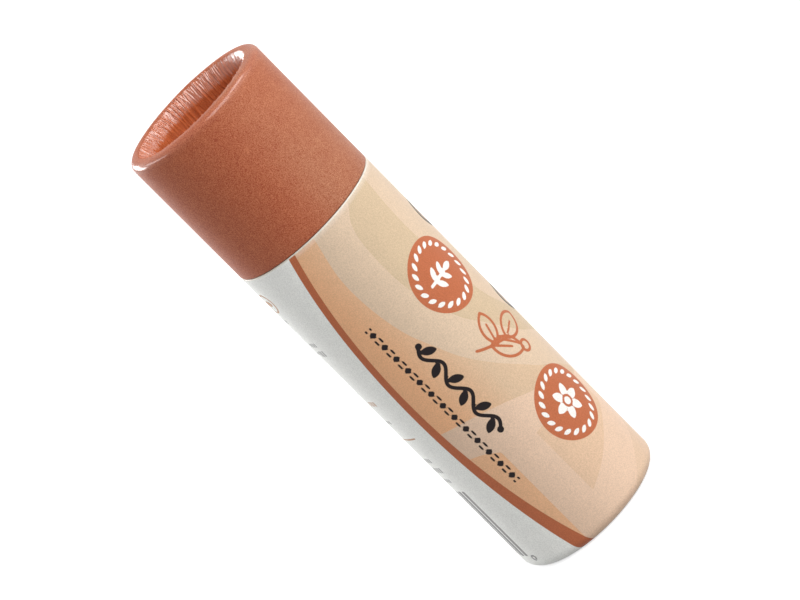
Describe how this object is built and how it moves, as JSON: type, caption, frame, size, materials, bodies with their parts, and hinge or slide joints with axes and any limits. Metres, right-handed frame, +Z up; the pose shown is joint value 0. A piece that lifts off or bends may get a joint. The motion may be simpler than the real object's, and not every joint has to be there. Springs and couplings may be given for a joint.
{
  "type": "lip balm stick",
  "caption": "Paper push-up lip balm stick: a board tube with a rolled foot, a push-up plunger of balm in its neck, and a pull-off cap with a rolled, recessed end.",
  "frame": {"origin": "on the axis, in the plane of the rolled foot that the stick stands on", "axes": "+Z up along the axis, from the foot to the cap; the label's front faces -Y"},
  "size_m": [0.0204, 0.0204, 0.0698],
  "materials": {
    "cap_paper": "satin",
    "label_paper": "satin",
    "board": "matte",
    "greaseproof": "satin",
    "balm": "satin"
  },
  "bodies": {
    "tube": {"body_wrap": "label_paper", "body_tube": "board", "neck_tube": "board", "neck_liner": "greaseproof"},
    "stick": {"push_base_paper": "board", "push_collar": "board", "push_disc": "board", "push_liner": "greaseproof", "balm": "balm"},
    "cap": {"cap_wrap": "cap_paper", "cap_tube": "board", "cap_end_disc": "board", "cap_end_paper": "cap_paper", "cap_seal_paper": "greaseproof"}
  },
  "joints": [
    {"name": "push_up", "type": "slide", "parent": "tube", "child": "stick", "axis": [0, 0, 1], "range_m": [0, 0.0525]},
    {"name": "cap_pull", "type": "slide", "parent": "stick", "child": "cap", "axis": [0, 0, 1], "range_m": [0, 0.03]}
  ]
}
